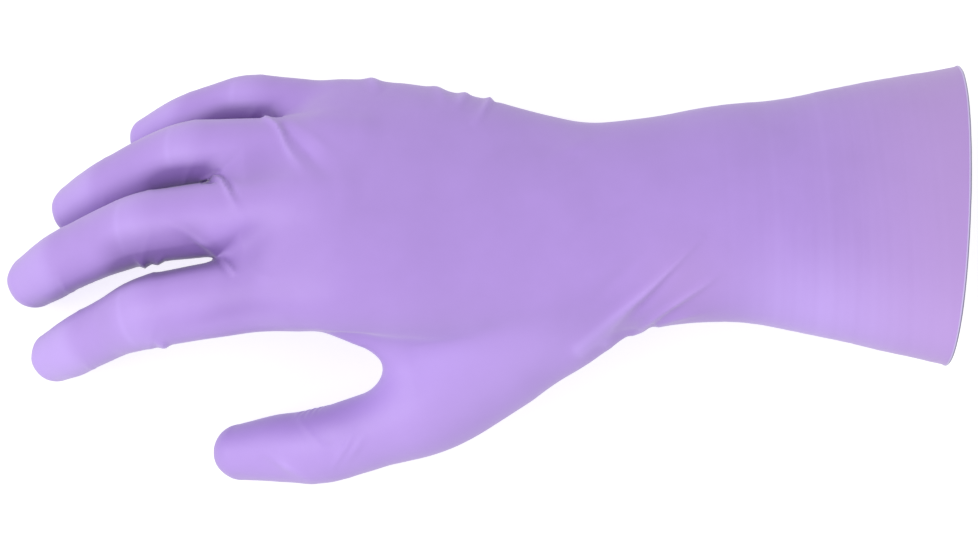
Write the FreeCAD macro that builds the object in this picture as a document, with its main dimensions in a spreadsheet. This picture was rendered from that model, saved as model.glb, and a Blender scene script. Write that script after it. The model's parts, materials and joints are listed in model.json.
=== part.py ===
import FreeCAD, Part
import os, math
from FreeCAD import Vector, Rotation, Placement

# A right-hand, extended-cuff disposable glove of thin nitrile film, in the shape a hand gives it.
# It lies palm down on the fingertips, the thumb tip and the lower edge of the cuff.
# X runs from the fingertips (-X) to the open end of the cuff (+X), Z is up, the thumb is on the
# -Y side.  The film is one skin; each zone of it that bends as a unit is a sub-part of its own,
# and between two such zones lies a flexing band.  Millimetres.

doc = FreeCAD.newDocument("glove")
sheet = doc.addObject("Spreadsheet::Sheet", "Dims")
sheet.Label = "Dims"
_row = [1]


def dim(alias, value, note=""):
    """One driving dimension: a plain number in column B with its alias."""
    n = _row[0]
    sheet.set("A%d" % n, alias)
    sheet.set("B%d" % n, "%.4f" % value)
    sheet.setAlias("B%d" % n, alias)
    if note:
        sheet.set("C%d" % n, note)
    _row[0] += 1
    return value


# Place of the whole glove in its own frame: the middle of its footprint, at the surface it lies on.
SHIFT = Vector(2.35, -4.15, 46.12)
FILM = dim("film", 0.40, "wall of the film")
ROLL = dim("roll", 0.75, "how far the rolled bead stands out of the cuff")
BEAD = dim("bead_length", 1.9, "length of the rolled bead along the cuff")


def vec(t):
    return Vector(*t)


def unit(v):
    v = Vector(v)
    v.normalize()
    return v


def frame_of(side, normal):
    """Section frame: local Z along the tube, local X along the wide side of the section."""
    z = unit(normal)
    x = Vector(side)
    x = unit(x - z * x.dot(z))
    y = z.cross(x)
    return Rotation(x, y, z, "ZXY")


def ellipse(name, rot, base, wide, thick):
    """An elliptical section bound to the sheet: base is three expressions."""
    e = doc.addObject("Part::Ellipse", name)
    e.Placement = Placement(Vector(0, 0, 0), rot)
    e.setExpression("Placement.Base.x", base[0])
    e.setExpression("Placement.Base.y", base[1])
    e.setExpression("Placement.Base.z", base[2])
    e.setExpression("MajorRadius", wide)
    e.setExpression("MinorRadius", thick)
    return e


class Section:
    """A cross-section of the film: the outer ellipse and the inner one, a film's wall inside it."""

    def __init__(self, name, centre, normal, side, wide, thick):
        self.name = name
        c = centre + SHIFT
        dim(name + "_x", c.x)
        dim(name + "_y", c.y)
        dim(name + "_z", c.z)
        dim(name + "_wide", wide)
        dim(name + "_thick", thick)
        self.rot = frame_of(side, normal)
        self.base = ["Dims.%s_%s" % (name, a) for a in "xyz"]
        self.outer = ellipse(name + "_outer", self.rot, self.base,
                             "Dims.%s_wide" % name, "Dims.%s_thick" % name)
        self.inner = ellipse(name + "_inner", self.rot, self.base,
                             "Dims.%s_wide - Dims.film" % name, "Dims.%s_thick - Dims.film" % name)


def loft(name, sections):
    lo = doc.addObject("Part::Loft", name)
    lo.Sections = sections
    lo.Solid = True
    lo.Ruled = False
    lo.Closed = False
    return lo


def cut(name, base, tool):
    c = doc.addObject("Part::Cut", name)
    c.Base = base
    c.Tool = tool
    return c


def fuse(name, shapes):
    f = doc.addObject("Part::MultiFuse", name)
    f.Shapes = shapes
    f.Refine = True
    return f


NODES = {}


def node(label, obj):
    obj.Label = label
    NODES[label] = obj
    return obj


def sleeve(label, sections):
    """An open tube of film through the given sections."""
    out = loft(label + "_skin", [q.outer for q in sections])
    inn = loft(label + "_hollow", [q.inner for q in sections])
    return node(label, cut(label + "_zone", out, inn))


def fingertip(label, firsts, tip, axis):
    """A closed fingertip: a tube through the sections firsts to the round section tip, and a dome."""
    whole = []
    for kind, less in (("outer", ""), ("inner", " - Dims.film")):
        tube = loft("%s_%s_tube" % (label, kind), [getattr(q, kind) for q in firsts] + [getattr(tip, kind)])
        dome = doc.addObject("Part::Sphere", "%s_%s_dome" % (label, kind))
        dome.Placement = Placement(Vector(0, 0, 0), tip.rot)
        for a, e in zip("xyz", tip.base):
            dome.setExpression("Placement.Base." + a, e)
        dome.setExpression("Radius", "Dims.%s_wide%s" % (tip.name, less))
        dome.Angle1 = 0.0
        dome.Angle2 = 90.0
        whole.append(fuse("%s_%s_body" % (label, kind), [tube, dome]))
    return node(label, cut(label + "_zone", whole[0], whole[1]))


# ---------------------------------------------------------------------------------------------
# Fingers.  Each has its centre line: knuckle, web, middle joint, tip joint, centre of the tip.
# Half widths: at the web, middle joint, middle of the middle phalanx, tip joint, tip.
FINGERS = {
    "index": dict(knuckle=(-53.6, -3.9, 4.8), web=(-79.2, -6.9, -2.0), middle=(-98.9, -9.6, -7.6),
                  tipj=(-118.6, -15.4, -25.0), tip=(-129.8, -19.0, -37.8),
                  half=(10.3, 9.9, 8.8, 8.5, 7.8)),
    "middle": dict(knuckle=(-50.8, 19.1, 6.7), web=(-79.5, 16.4, -0.8), middle=(-100.0, 14.9, -5.8),
                   tipj=(-125.6, 8.1, -24.6), tip=(-137.0, 3.8, -37.3),
                   half=(10.3, 10.0, 9.3, 9.0, 8.4)),
    "ring": dict(knuckle=(-45.9, 36.1, -1.2), web=(-72.0, 36.6, -6.3), middle=(-87.2, 37.2, -8.0),
                 tipj=(-113.3, 29.6, -25.3), tip=(-124.6, 25.9, -37.5),
                 half=(9.8, 9.5, 9.1, 8.8, 8.1)),
    "little": dict(knuckle=(-36.6, 49.3, -14.5), web=(-56.1, 52.6, -18.0), middle=(-71.0, 54.6, -18.8),
                   tipj=(-90.0, 51.4, -27.3), tip=(-102.4, 48.4, -38.4),
                   half=(8.7, 8.4, 7.8, 7.5, 7.2)),
}
GAP_MIDDLE = dim("gap_middle", 4.4, "half length of the flexing band at a middle joint")
GAP_TIP = dim("gap_tip", 3.3, "half length of the flexing band at a tip joint")
GAP_KNUCKLE = dim("gap_knuckle", 6.5, "half length of the flexing band at the knuckles")
GAP_WRIST = dim("gap_wrist", 7.0, "half length of the flexing band at the wrist")
GAP_THUMB = dim("gap_thumb", 4.6, "half length of the flexing band at the thumb's knuckle")

# Knuckle line: one hinge across the hand, from the index knuckle to the little one.
KN_C = Vector(-45.1, 22.7, 0.4)
KN_AXIS = unit(Vector(-17.0, -53.2, 19.3))
KN_DIR = unit(Vector(-0.96, -0.10, -0.25) - KN_AXIS * Vector(-0.96, -0.10, -0.25).dot(KN_AXIS))
kn_prox = Section("knuckle_prox", KN_C - KN_DIR * GAP_KNUCKLE, KN_DIR, KN_AXIS, 41.3, 16.2)
kn_dist = Section("knuckle_dist", KN_C + KN_DIR * GAP_KNUCKLE, KN_DIR, KN_AXIS, 40.3, 15.2)

sleeve("knuckle_band", [kn_prox, kn_dist])

HINGES = {"knuckle_bend": (KN_C, KN_AXIS)}

# The web block and the free roots of the four fingers are one zone.
webs = Section("web_line", Vector(-66.8, 23.6, -6.6), KN_DIR, KN_AXIS, 35.5, 9.6)
outer_roots = [loft("web_skin", [kn_dist.outer, webs.outer])]
inner_roots = [loft("web_hollow", [kn_dist.inner, webs.inner])]

for f, g in FINGERS.items():
    K, W, P1, P2, T = (vec(g[k]) for k in ("knuckle", "web", "middle", "tipj", "tip"))
    d0, d1, d2 = unit(P1 - W), unit(P2 - P1), unit(T - P2)
    axis = unit(d0.cross(d1) + d1.cross(d2))
    b1, b2 = unit(d0 + d1), unit(d1 + d2)
    hw, h1, hm, h2, ht = g["half"]
    g["belly"] = axis.cross(d2) * -0.5
    # start of the root, on the far face of the knuckle band, inside the web block
    start = K + unit(W - K) * ((KN_C + KN_DIR * GAP_KNUCKLE - K).dot(KN_DIR) / unit(W - K).dot(KN_DIR))
    down = {"index": -3.0, "middle": -5.5, "ring": -5.0, "little": 1.0}[f]
    inward = {"index": -KN_AXIS * 2.5, "little": KN_AXIS * 3.0}.get(f, Vector(0, 0, 0))
    start = start + Vector(0, 0, down) + inward
    rs = {"index": 7.4, "middle": 8.2, "ring": 8.0, "little": 6.2}[f]
    s_start = Section(f + "_start", start - KN_DIR * (start - KN_C - KN_DIR * GAP_KNUCKLE).dot(KN_DIR),
                      KN_DIR, axis, rs, rs * 0.97)
    s_web = Section(f + "_web", W, unit(unit(W - start) + d0), axis, hw, hw * 0.95)
    s_a1 = Section(f + "_middle_near", P1 - b1 * GAP_MIDDLE, b1, axis, h1, h1 * 0.96)
    s_b1 = Section(f + "_middle_far", P1 + b1 * GAP_MIDDLE, b1, axis, h1 * 0.985, h1 * 0.95)
    s_m = Section(f + "_mid", (P1 + P2) * 0.5 + b1.cross(axis) * 0.0, d1, axis, hm, hm * 0.95)
    s_a2 = Section(f + "_tip_near", P2 - b2 * GAP_TIP, b2, axis, h2, h2 * 0.95)
    s_b2 = Section(f + "_tip_far", P2 + b2 * GAP_TIP, b2, axis, h2 * 0.985, h2 * 0.94)
    s_t = Section(f + "_tip", T, d2, axis, ht, ht)
    outer_roots.append(loft(f + "_root_skin", [s_start.outer, s_web.outer, s_a1.outer]))
    inner_roots.append(loft(f + "_root_hollow", [s_start.inner, s_web.inner, s_a1.inner]))
    sleeve(f + "_middle_band", [s_a1, s_b1])
    sleeve(f + "_middle", [s_b1, s_m, s_a2])
    sleeve(f + "_tip_band", [s_a2, s_b2])
    far = P2 + b2 * GAP_TIP
    s_p = Section(f + "_pad", far * 0.52 + T * 0.48 + g["belly"], d2, axis, h2 * 1.0, h2 * 0.96)
    fingertip(f + "_tip", [s_b2, s_p], s_t, d2)
    HINGES[f + "_middle_bend"] = (P1, axis)
    HINGES[f + "_tip_bend"] = (P2, axis)

node("finger_bases", cut("finger_bases_zone", fuse("roots_skin", outer_roots),
                         fuse("roots_hollow", inner_roots)))

# ---------------------------------------------------------------------------------------------
# Thumb: from the ball of the thumb to its knuckle, its lower sleeve, the tip joint and the tip.
TB = Vector(25.0, -5.5, -12.5)
TC = Vector(3.0, -23.5, -15.0)
TN = Vector(-16.0, -36.8, -16.2)
TJ = Vector(-49.1, -47.1, -26.7)
TT = Vector(-73.8, -47.2, -37.6)
t0, t1, t2 = unit(TN - TC), unit(TJ - TN), unit(TT - TJ)
TK = TN + t1 * 11.0                      # the thumb bends just beyond the fold to the index
t_axis = unit(t0.cross(t1) + t1.cross(t2))
tb1, tb2 = t1, unit(t1 + t2)
th_base = Section("thumb_base", TB, unit(TC - TB), t_axis, 15.5, 13.5)
th_ball = Section("thumb_ball", TC, t0, t_axis, 17.2, 15.4)
th_n = Section("thumb_root", TN, unit(t0 + t1), t_axis, 13.9, 12.9)
th_a1 = Section("thumb_knuckle_near", TK - tb1 * GAP_THUMB, tb1, t_axis, 13.1, 12.1)
th_b1 = Section("thumb_knuckle_far", TK + tb1 * GAP_THUMB, tb1, t_axis, 12.3, 11.4)
th_m = Section("thumb_mid", (TK + TJ) * 0.5 + Vector(0, 0.2, 0), t1, t_axis, 11.8, 11.0)
th_a2 = Section("thumb_tip_near", TJ - tb2 * GAP_MIDDLE, tb2, t_axis, 11.4, 10.9)
th_b2 = Section("thumb_tip_far", TJ + tb2 * GAP_MIDDLE, tb2, t_axis, 11.2, 10.6)
th_t = Section("thumb_tip", TT, t2, t_axis, 8.4, 8.4)
sleeve("thumb_knuckle_band", [th_a1, th_b1])
sleeve("thumb_lower", [th_b1, th_m, th_a2])
sleeve("thumb_tip_band", [th_a2, th_b2])
th_p = Section("thumb_pad", TJ * 0.52 + TT * 0.48, t2, t_axis, 10.9, 10.2)
fingertip("thumb_tip", [th_b2, th_p], th_t, t2)
HINGES["thumb_bend"] = (TK, t_axis)
HINGES["thumb_tip_bend"] = (TJ, t_axis)

# ---------------------------------------------------------------------------------------------
# Hand: from the wrist to the knuckles, split along the side seam line into a back and a palm.
SIDE = Vector(0.0, -0.9591, 0.2829)     # across the hand, towards the thumb
BACK = Vector(0.0, 0.2829, 0.9591)      # out of the back of the hand
ALONG = Vector(1.0, 0.0, 0.0)
WR_C = Vector(50.0, 17.9, -10.0)
wr_hand = Section("wrist_hand", WR_C - ALONG * GAP_WRIST + Vector(0, -0.7, 0.2), ALONG, SIDE, 32.2, 21.0)
wr_cuff = Section("wrist_cuff", WR_C + ALONG * GAP_WRIST + Vector(0, 0.9, -0.3), ALONG, SIDE, 32.7, 21.2)
heel = Section("heel", Vector(22.0, 17.4, -8.8), ALONG, SIDE, 33.4, 20.4)
mid_hand = Section("mid_hand", Vector(-6.0, 18.6, -5.6), unit(Vector(0.97, -0.08, 0.2)), SIDE, 37.0, 20.8)
# the fold of skin between thumb and index, and the ball of the thumb behind it
FLAT = Vector(1.0, 0.0, 0.0)
fold_in = Section("fold_in", Vector(-7.0, 8.0, -5.5), Vector(0.0, -0.96, -0.28), FLAT, 24.0, 12.0)
fold_mid = Section("fold_mid", Vector(-7.6, -13.0, -10.5), Vector(0.0, -0.96, -0.28), FLAT, 25.6, 11.5)
fold_out = Section("fold_out", Vector(-6.6, -29.0, -14.4), Vector(-0.2, -0.94, -0.28), FLAT, 16.0, 10.0)
hand_skin = fuse("hand_skin", [
    loft("hand_core_skin", [wr_hand.outer, heel.outer, mid_hand.outer, kn_prox.outer]),
    loft("thumb_ball_skin", [th_base.outer, th_ball.outer, th_n.outer, th_a1.outer]),
    loft("fold_skin", [fold_in.outer, fold_mid.outer, fold_out.outer])])
hand_hollow = fuse("hand_hollow", [
    loft("hand_core_hollow", [wr_hand.inner, heel.inner, mid_hand.inner, kn_prox.inner]),
    loft("thumb_ball_hollow", [th_base.inner, th_ball.inner, th_n.inner, th_a1.inner]),
    loft("fold_hollow", [fold_in.inner, fold_mid.inner, fold_out.inner])])
hand_shell = cut("hand_shell", hand_skin, hand_hollow)
dim("split_length", 260.0, "size of the block that parts the back from the palm")
dim("split_height", 90.0)
split = doc.addObject("Part::Box", "split_block")
split.setExpression("Length", "Dims.split_length")
split.setExpression("Width", "Dims.split_length")
split.setExpression("Height", "Dims.split_height")
rot = Rotation(ALONG, ALONG.cross(SIDE) * -1, BACK, "ZXY")
corner = Vector(0, 18.0, -8.0) + SHIFT - ALONG * 130 - rot.multVec(Vector(0, 130, 0))
split.Placement = Placement(corner, rot)
back = doc.addObject("Part::Common", "hand_back_zone")
back.Base = hand_shell
back.Tool = split
node("hand_back", back)
node("palm", cut("palm_zone", hand_shell, split))

# ---------------------------------------------------------------------------------------------
# Cuff: it narrows at the wrist and flares to the open end, whose rim is a rolled bead.
sleeve("wrist_band", [wr_hand, wr_cuff])
RIM_N = unit(Vector(1.0, -0.105, -0.02))
c1 = Section("cuff_low", Vector(73.3, 20.2, -11.8), ALONG, SIDE, 33.9, 21.4)
c2 = Section("cuff_mid", Vector(92.0, 20.4, -13.4), ALONG, SIDE, 37.5, 22.6)
c3 = Section("cuff_high", Vector(116.0, 20.4, -16.0), unit(Vector(1, -0.05, -0.01)), SIDE, 43.2, 24.0)
c4 = Section("cuff_end", Vector(134.1, 20.3, -17.9), RIM_N, SIDE, 47.4, 24.9)
sleeve("cuff", [wr_cuff, c1, c2, c3, c4])

bead_rot = c4.rot
bx = ["%s + %.6f * Dims.bead_length" % (c4.base[i], k) for i, k in enumerate((RIM_N.x, RIM_N.y, RIM_N.z))]
out_a = ellipse("bead_outer_near", bead_rot, c4.base, "Dims.cuff_end_wide + Dims.roll", "Dims.cuff_end_thick + Dims.roll")
out_b = ellipse("bead_outer_far", bead_rot, bx, "Dims.cuff_end_wide + Dims.roll", "Dims.cuff_end_thick + Dims.roll")
inn_a = ellipse("bead_inner_near", bead_rot, c4.base, "Dims.cuff_end_wide - Dims.film", "Dims.cuff_end_thick - Dims.film")
inn_b = ellipse("bead_inner_far", bead_rot, bx, "Dims.cuff_end_wide - Dims.film", "Dims.cuff_end_thick - Dims.film")
bead_ring = cut("bead_ring", loft("bead_skin", [out_a, out_b]), loft("bead_hollow", [inn_a, inn_b]))
doc.recompute()
bead = doc.addObject("Part::Fillet", "cuff_bead_zone")
bead.Base = bead_ring
ring_edges = []
for i, e in enumerate(bead_ring.Shape.Edges):
    if len(e.Vertexes) == 1 and e.Length > 2 * math.pi * (c4.outer.MinorRadius.Value + 5):
        ring_edges.append((i + 1, e))
longest = sorted(ring_edges, key=lambda q: -q[1].Length)[:2]
bead.Edges = [(i, 0.55, 0.55) for i, e in longest]
node("cuff_bead", bead)
HINGES["wrist_bend"] = (WR_C, SIDE)

# ---------------------------------------------------------------------------------------------
doc.recompute()
bad = []
for o in doc.Objects:
    if any(w in str(q) for q in o.State for w in ("Invalid", "Error")):
        bad.append((o.Name, o.State))
for label, o in NODES.items():
    sh = o.Shape
    if sh.isNull() or not sh.isValid() or len(sh.Solids) < 1:
        bad.append((label, "shape"))
if bad:
    raise RuntimeError("failed objects: %s" % bad)

os.makedirs("parts", exist_ok=True)
box = FreeCAD.BoundBox()
total = 0.0
for label, o in sorted(NODES.items()):
    sh = o.Shape
    sh.exportStep("parts/%s.step" % label)
    b = sh.optimalBoundingBox(False)
    box.add(b)
    total += sh.Volume
    print("%-20s solids %d vol %8.1f  x %.1f..%.1f y %.1f..%.1f z %.1f..%.1f" % (
        label, len(sh.Solids), sh.Volume, b.XMin, b.XMax, b.YMin, b.YMax, b.ZMin, b.ZMax))
print("box", box, "volume", total, "nodes", len(NODES))
for name, (c, a) in HINGES.items():
    c = c + SHIFT
    print("HINGE %s %.3f %.3f %.3f  %.5f %.5f %.5f" % (name, c.x, c.y, c.z, a.x, a.y, a.z))
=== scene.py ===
import bpy
import json
import math
import numpy as np
from mathutils import Matrix, Vector


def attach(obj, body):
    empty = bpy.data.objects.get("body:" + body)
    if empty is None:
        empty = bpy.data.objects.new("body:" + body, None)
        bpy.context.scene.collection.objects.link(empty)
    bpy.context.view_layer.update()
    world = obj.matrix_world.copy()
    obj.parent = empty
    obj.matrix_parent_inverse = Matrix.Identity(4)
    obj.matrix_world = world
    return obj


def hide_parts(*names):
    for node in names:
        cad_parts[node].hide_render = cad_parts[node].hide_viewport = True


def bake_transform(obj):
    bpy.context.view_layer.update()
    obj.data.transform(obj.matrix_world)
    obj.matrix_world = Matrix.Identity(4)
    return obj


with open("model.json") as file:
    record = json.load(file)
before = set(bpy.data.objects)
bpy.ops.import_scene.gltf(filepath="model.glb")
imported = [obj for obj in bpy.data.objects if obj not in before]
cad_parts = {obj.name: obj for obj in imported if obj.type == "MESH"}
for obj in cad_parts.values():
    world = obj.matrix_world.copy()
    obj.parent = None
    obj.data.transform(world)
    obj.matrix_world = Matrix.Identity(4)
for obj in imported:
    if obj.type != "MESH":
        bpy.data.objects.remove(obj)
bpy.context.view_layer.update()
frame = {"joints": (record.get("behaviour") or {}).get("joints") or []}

# An extended-cuff disposable glove of lavender nitrile film, in the shape a right hand gives it.
# The form is worked out in millimetres in the axes of the hand's skeleton: X towards the cuff,
# Y towards the little finger, Z out of the back of the hand.  ORIGIN is the place of that
# skeleton's zero in the row frame, found from the knuckle hinge.
KN_C = np.array([-45.1, 22.7, 0.4])
JOINTS = {j["name"]: (np.array(j["pos_m"], float) * 1000.0, np.array(j["axis"], float)) for j in frame["joints"]}
ORIGIN = JOINTS["knuckle_bend"][0] - KN_C
GRID = 0.8          # size of the mesh, mm
FILM = 0.22         # thickness of the film, mm

# --- camera, light and floor -------------------------------------------------------------
EYE = np.array([0.0, -0.14891304, 0.9888503])
cam_data = bpy.data.cameras.new("camera")
cam_data.lens = 85.0
cam_data.sensor_width = 36.0
cam_data.sensor_fit = "HORIZONTAL"
cam_data.clip_start, cam_data.clip_end = 0.05, 20.0
cam = bpy.data.objects.new("camera", cam_data)
bpy.context.scene.collection.objects.link(cam)
_loc = ORIGIN / 1000.0 + 0.6597 * EYE
cam.matrix_world = Matrix(((1.0, 0.0, 0.0, _loc[0]), (0.0, EYE[2], EYE[1], _loc[1]),
                           (0.0, -EYE[1], EYE[2], _loc[2]), (0.0, 0.0, 0.0, 1.0)))
bpy.context.scene.camera = cam
bpy.context.scene.view_settings.view_transform = "Standard"
bpy.context.scene.view_settings.look = "None"

# --- the plain form --------------------------------------------------------------------
# The film as one closed form, in millimetres in the skeleton's own axes (see ORIGIN below).
def unit(v):
    v = np.asarray(v, float)
    return v / np.linalg.norm(v)


def smin(a, b, k):
    """Smooth union: k is the size of the fillet, in millimetres."""
    h = np.clip(0.5 + 0.5 * (b - a) / k, 0.0, 1.0)
    return b + (a - b) * h - k * h * (1.0 - h)


def smax(a, b, k):
    return -smin(-a, -b, k)


def rounded_line(points, radii, corner, step=0.5):
    """A line through points with rounded corners; returns points, their place along the given points, and arc length.
    """
    P = [np.asarray(p, float) for p in points]
    out, rr, keys = [P[0]], [radii[0]], [0.0]
    pts, par = [], []
    n = len(P)
    for i in range(n - 1):
        a, b = P[i], P[i + 1]
        L = np.linalg.norm(b - a)
        ca = 0.0 if i == 0 else min(corner[i], 0.45 * L)
        cb = 0.0 if i == n - 2 else min(corner[i + 1], 0.45 * L)
        m = max(int((L - ca - cb) / step), 1)
        for q in np.linspace(ca / L, 1 - cb / L, m + 1):
            pts.append(a + (b - a) * q)
            par.append(i + q)
        if i < n - 2:
            c = P[i + 2]
            L2 = np.linalg.norm(c - b)
            cc = min(corner[i + 1], 0.45 * L2)
            s, e = b + (a - b) * cb / L, b + (c - b) * cc / L2
            m = max(int((cb + cc) / step), 2)
            for q in np.linspace(0, 1, m + 1)[1:-1]:
                pts.append((1 - q) ** 2 * s + 2 * q * (1 - q) * b + q ** 2 * e)
                par.append((i + 1 - cb / L) * (1 - q) + (i + 1 + cc / L2) * q)
    pts, par = np.array(pts), np.array(par)
    s = np.concatenate([[0], np.cumsum(np.linalg.norm(np.diff(pts, axis=0), axis=1))])
    return pts, par, s


class Tube:
    """A bent tube of elliptical section: a finger or the thumb."""

    def __init__(self, name, points, wide, thick, side, corner, cap, lift=None):
        self.name = name
        pts, par, s = rounded_line(points, wide, corner)
        S = np.arange(0, s[-1], 0.5)
        self.S = S
        self.c = np.stack([np.interp(S, s, pts[:, k]) for k in range(3)], 1)
        p = np.interp(S, s, par)
        keys = np.arange(len(points))
        self.par = p
        self.a = self._soft(np.interp(p, keys, wide))
        self.b = self._soft(np.interp(p, keys, thick))
        T = np.gradient(self.c, axis=0)
        T = np.stack([self._soft(T[:, k], 4) for k in range(3)], 1)
        self.T = T / np.linalg.norm(T, axis=1, keepdims=True)
        sd = np.asarray(side, float)
        if sd.ndim == 2:
            sd = np.stack([np.interp(p, keys, sd[:, k]) for k in range(3)], 1)
        else:
            sd = np.repeat(sd[None], len(S), 0)
        X = sd - self.T * np.sum(sd * self.T, 1, keepdims=True)
        self.X = X / np.linalg.norm(X, axis=1, keepdims=True)
        self.Y = np.cross(self.T, self.X)          # palmar or dorsal, by the side's sense
        self.cap = cap
        if lift is not None:
            self.c = self.c + self.Y * self._soft(np.interp(p, keys, lift))[:, None]

    @staticmethod
    def _soft(v, n=9):
        k = np.hanning(n + 2)[1:-1]
        k /= k.sum()
        w = np.pad(v, n // 2, mode="edge")
        return np.convolve(w, k, mode="valid")[:len(v)]

    def nearest(self, P):
        out = np.empty(len(P), np.int32)
        C = self.c.astype(np.float32)
        cc = np.sum(C * C, 1)
        for i in range(0, len(P), 60000):
            q = P[i:i + 60000].astype(np.float32)
            out[i:i + 60000] = np.argmin(cc[None] - 2.0 * q @ C.T, axis=1)
        return out

    def local(self, P):
        i = self.nearest(P)
        w = np.sum((P - self.c[i]) * self.T[i], 1)
        s = self.S[i] + np.clip(w, -0.5, 0.5)
        j = np.clip(s / 0.5, 0, len(self.S) - 1.001)
        j0 = j.astype(int)
        f = (j - j0)[:, None]

        def at(A):
            return A[j0] * (1 - f) + A[j0 + 1] * f if A.ndim == 2 else A[j0] * (1 - f[:, 0]) + A[j0 + 1] * f[:, 0]
        c, X, Y, T = at(self.c), at(self.X), at(self.Y), at(self.T)
        d = P - c
        return s, np.sum(d * X, 1), np.sum(d * Y, 1), np.sum(d * T, 1), at(self.a), at(self.b)

    def __call__(self, P):
        s, u, v, w, a, b = self.local(P)
        end = self.S[-1] - 0.6
        wc = np.where((s >= end) & (w > 0), w, 0.0) / self.cap
        wc = wc + np.where((s <= 0.6) & (w < 0), w, 0.0) / (0.8 * b)
        k1 = np.sqrt((u / a) ** 2 + (v / b) ** 2 + wc ** 2) + 1e-9
        k2 = np.sqrt((u / a ** 2) ** 2 + (v / b ** 2) ** 2 + (wc / self.cap) ** 2) + 1e-9
        return k1 * (k1 - 1.0) / k2


def blob(P, c, R, axes):
    """An ellipsoid: centre, half sizes, and the rows of its axes."""
    q = (P - np.asarray(c, float)) @ np.asarray(axes, float).T
    R = np.asarray(R, float)
    k1 = np.sqrt(np.sum((q / R) ** 2, 1)) + 1e-9
    k2 = np.sqrt(np.sum((q / R ** 2) ** 2, 1)) + 1e-9
    return k1 * (k1 - 1.0) / k2


def capsule(P, a, b, ra, rb):
    a, b = np.asarray(a, float), np.asarray(b, float)
    d = b - a
    t = np.clip((P - a) @ d / (d @ d), 0, 1)
    return np.linalg.norm(P - a - t[:, None] * d, axis=1) - (ra + (rb - ra) * t)


def slab(P, tri, r):
    """A triangle swollen by r."""
    a, b, c = (np.asarray(q, float) for q in tri)
    ba, pa, cb, pb, ac, pc = b - a, P - a, c - b, P - b, a - c, P - c
    n = np.cross(ba, ac)

    def edge(e, p):
        t = np.clip(p @ e / (e @ e), 0, 1)
        return np.sum((e * t[:, None] - p) ** 2, 1)
    inside = (np.sign(pa @ np.cross(ba, n)) + np.sign(pb @ np.cross(cb, n)) + np.sign(pc @ np.cross(ac, n))) < 2.0
    e = np.minimum(np.minimum(edge(ba, pa), edge(cb, pb)), edge(ac, pc))
    pl = (pa @ n) ** 2 / (n @ n)
    return np.sqrt(np.where(inside, e, pl)) - r


SIDE = unit((0.0, -0.9591, 0.2829))
BACK = unit((0.0, 0.2829, 0.9591))

# stations of the hand and cuff: x, centre y, z, half width, half thickness above, below, turn in degrees,
# squareness of the section
HAND = np.array([
    #   x      y      z     wide  up    down  turn   n
    [134.0, 20.4, -17.9, 47.5, 24.9, 24.9, 0.0, 2.0],
    [120.0, 20.5, -16.5, 44.3, 24.2, 24.2, 0.0, 2.0],
    [105.0, 20.5, -15.0, 40.6, 23.4, 23.4, 0.0, 2.0],
    [91.0, 20.4, -13.4, 37.3, 22.6, 22.6, 0.0, 2.0],
    [74.0, 20.5, -12.0, 33.8, 21.6, 21.6, 0.0, 2.05],
    [62.0, 19.6, -11.0, 33.0, 21.2, 21.2, 0.0, 2.1],
    [50.0, 17.6, -10.0, 32.2, 21.0, 20.6, 0.0, 2.15],
    [32.0, 15.8, -9.2, 31.6, 20.8, 20.0, 0.0, 2.2],
    [14.0, 14.9, -8.0, 32.0, 20.4, 19.0, -1.0, 2.2],
    [-6.0, 17.6, -6.0, 36.7, 20.0, 18.0, -3.0, 2.2],
    [-25.0, 20.2, -3.6, 40.9, 19.2, 16.5, -6.0, 2.2],
    [-42.0, 20.3, -2.2, 40.9, 17.6, 15.0, -8.0, 2.25],
    [-56.0, 19.9, -3.2, 38.0, 14.4, 13.0, -8.0, 2.3],
    [-70.0, 19.6, -5.2, 31.0, 9.0, 9.0, -6.0, 2.3],
])
_o = np.argsort(HAND[:, 0])
HAND = HAND[_o]


def spline(xk, yk, x):
    """Monotone-ish cubic through the stations, flat tangents limited, so nothing overshoots."""
    h = np.diff(xk)
    d = np.diff(yk) / h
    m = np.zeros_like(yk)
    m[1:-1] = np.where(d[:-1] * d[1:] > 0, 2 * d[:-1] * d[1:] / (d[:-1] + d[1:] + 1e-12 * (d[:-1] + d[1:] == 0)), 0)
    m[0], m[-1] = d[0], d[-1]
    i = np.clip(np.searchsorted(xk, x) - 1, 0, len(xk) - 2)
    t = (x - xk[i]) / h[i]
    t = np.clip(t, -3, 4)
    tt = np.clip(t, 0, 1)
    y = ((2 * tt ** 3 - 3 * tt ** 2 + 1) * yk[i] + (tt ** 3 - 2 * tt ** 2 + tt) * h[i] * m[i]
         + (-2 * tt ** 3 + 3 * tt ** 2) * yk[i + 1] + (tt ** 3 - tt ** 2) * h[i] * m[i + 1])
    return y + np.where(t > 1, (t - 1) * h[i] * m[i + 1], 0) + np.where(t < 0, t * h[i] * m[i], 0)


XS = np.arange(-80.0, 150.0, 0.5)


def _smooth(v, n=25):
    k = np.hanning(n + 2)[1:-1]
    k /= k.sum()
    # keep end slopes
    w = np.concatenate([2 * v[0] - v[n // 2:0:-1], v, 2 * v[-1] - v[-2:-n // 2 - 1:-1]])
    return np.convolve(w, k, mode="valid")[:len(v)]


TAB = np.stack([_smooth(spline(HAND[:, 0], HAND[:, k], XS)) for k in range(1, 8)], 1)
RIM_TILT = 0.045


def hand_params(x):
    j = np.clip((x - XS[0]) / 0.5, 0, len(XS) - 1.001)
    j0 = j.astype(int)
    f = (j - j0)[:, None]
    return TAB[j0] * (1 - f) + TAB[j0 + 1] * f


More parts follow.
